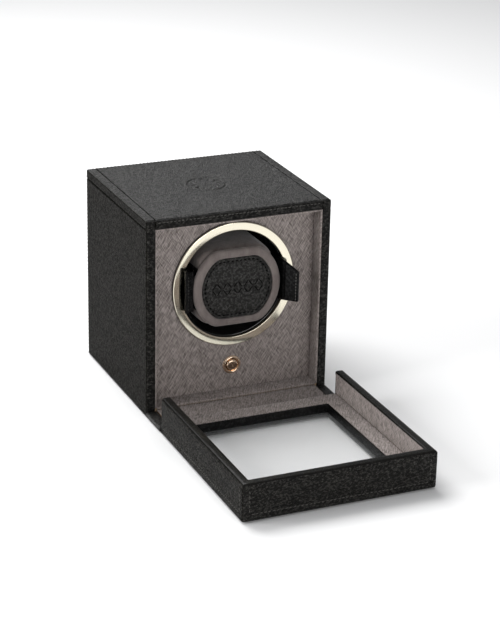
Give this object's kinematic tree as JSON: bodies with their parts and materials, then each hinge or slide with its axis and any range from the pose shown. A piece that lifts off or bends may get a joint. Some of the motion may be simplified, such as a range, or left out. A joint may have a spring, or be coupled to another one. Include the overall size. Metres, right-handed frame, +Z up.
{
  "type": "watch winder box",
  "caption": "Leather-covered single watch winder with a fold-down windowed lid, a belt-driven drum behind a metal trim ring and a removable sprung watch cuff.",
  "frame": {"origin": "centre of the footprint with the lid folded down flat, on the surface the box stands on", "axes": "+Z up; -Y the way the drum opening faces and the lid folds; +X to the right as seen from the front"},
  "size_m": [0.133, 0.283, 0.14],
  "materials": {
    "board": "raw medium-density fibreboard",
    "black_leather": "pebble-grain, semi-matt",
    "wing_leather": "smooth calf-grain, semi-gloss",
    "base_felt": "pressed felt",
    "taupe_lining": "cross-hatched coated cloth, low sheen",
    "cuff_suede": "brushed microsuede",
    "champagne_metal": "polished, pale gold plated",
    "rose_metal": "polished, rose gold plated",
    "gloss_black_plastic": "moulded, gloss",
    "matte_black_plastic": "moulded, fine texture",
    "white_plastic": "moulded acetal",
    "steel": "zinc plated",
    "bush_brass": "sintered",
    "belt_rubber": "matt",
    "circuit_board": "solder mask",
    "window_glass": "clear, bevelled edge",
    "thread": "bonded sewing thread"
  },
  "bodies": {
    "case": {"bottom_board": "board", "top_board": "board", "left_board": "board", "right_board": "board", "catch_plate": "steel", "leather_top": "black_leather", "leather_left": "black_leather", "leather_right": "black_leather", "leather_base": "black_leather", "base_felt": "base_felt", "lining_left": "taupe_lining", "lining_right": "taupe_lining", "lining_top": "taupe_lining", "lining_bottom": "taupe_lining", "front_panel": "board", "front_fabric": "taupe_lining", "trim_ring": "champagne_metal", "button_collar": "rose_metal", "drive_frame": "matte_black_plastic", "bearing_bush": "bush_brass", "motor": "steel", "drive_belt": "belt_rubber", "control_board": "circuit_board", "tact_switch": "matte_black_plastic", "rear_panel": "matte_black_plastic", "rear_cleat_left": "board", "rear_cleat_right": "board", "rear_screw_lower_left": "steel", "rear_screw_upper_left": "steel", "rear_screw_lower_right": "steel", "rear_screw_upper_right": "steel", "power_jack": "matte_black_plastic", "battery_tray": "matte_black_plastic", "contact_plate": "steel", "contact_spring": "steel"},
    "lid": {"lid_face_leather": "black_leather", "lid_band_leather": "black_leather", "lid_face_board": "board", "lid_wall_left": "board", "lid_wall_right": "board", "lid_wall_end": "board", "lid_lining_frame": "taupe_lining", "lid_lining_walls": "taupe_lining", "lid_glass": "window_glass", "magnet_left": "steel", "magnet_right": "steel"},
    "drum": {"drum_cup": "gloss_black_plastic", "drum_shaft": "steel", "drum_pulley": "white_plastic", "shaft_clip": "steel"},
    "motor_rotor": {"motor_shaft": "steel", "motor_pulley": "white_plastic"},
    "cuff": {"cuff_body": "cuff_suede", "cuff_plate": "cuff_suede", "cuff_inset": "black_leather"},
    "left_wing": {"wing_left": "wing_leather"},
    "right_wing": {"wing_right": "wing_leather"},
    "start_button": {"button": "rose_metal"},
    "battery_flap": {"battery_door": "matte_black_plastic"}
  },
  "joints": [
    {"name": "lid_fold", "type": "hinge", "parent": "case", "child": "lid", "pos_m": [0, -0.00295, 0.0015], "axis": [1, 0, 0], "range_deg": [-90, 0]},
    {"name": "drum_spin", "type": "hinge", "parent": "case", "child": "drum", "pos_m": [0, 0.06245, 0.0845], "axis": [0, 1, 0], "continuous": true},
    {"name": "motor_spin", "type": "hinge", "parent": "case", "child": "motor_rotor", "pos_m": [-0.044, 0.11245, 0.1195], "axis": [0, 1, 0], "continuous": true},
    {"name": "cuff_slide", "type": "slide", "parent": "drum", "child": "cuff", "axis": [0, -1, 0], "range_m": [0, 0.075]},
    {"name": "left_wing_squeeze", "type": "hinge", "parent": "cuff", "child": "left_wing", "pos_m": [-0.0305, 0.05445, 0.0845], "axis": [0, 0, 1], "range_deg": [0, 3], "stiffness_Nm_per_rad": 1.4},
    {"name": "right_wing_squeeze", "type": "hinge", "parent": "cuff", "child": "right_wing", "pos_m": [0.0305, 0.05445, 0.0845], "axis": [0, 0, -1], "range_deg": [0, 3], "stiffness_Nm_per_rad": 1.4},
    {"name": "button_press", "type": "slide", "parent": "case", "child": "start_button", "axis": [0, 1, 0], "range_m": [0, 0.0012], "stiffness_N_per_m": 600},
    {"name": "battery_door_hinge", "type": "hinge", "parent": "case", "child": "battery_flap", "pos_m": [0, 0.14005, 0.008], "axis": [-1, 0, 0], "range_deg": [0, 90]}
  ],
  "couplings": [
    {"joint": "motor_spin", "follows": "drum_spin", "ratio": 5}
  ]
}
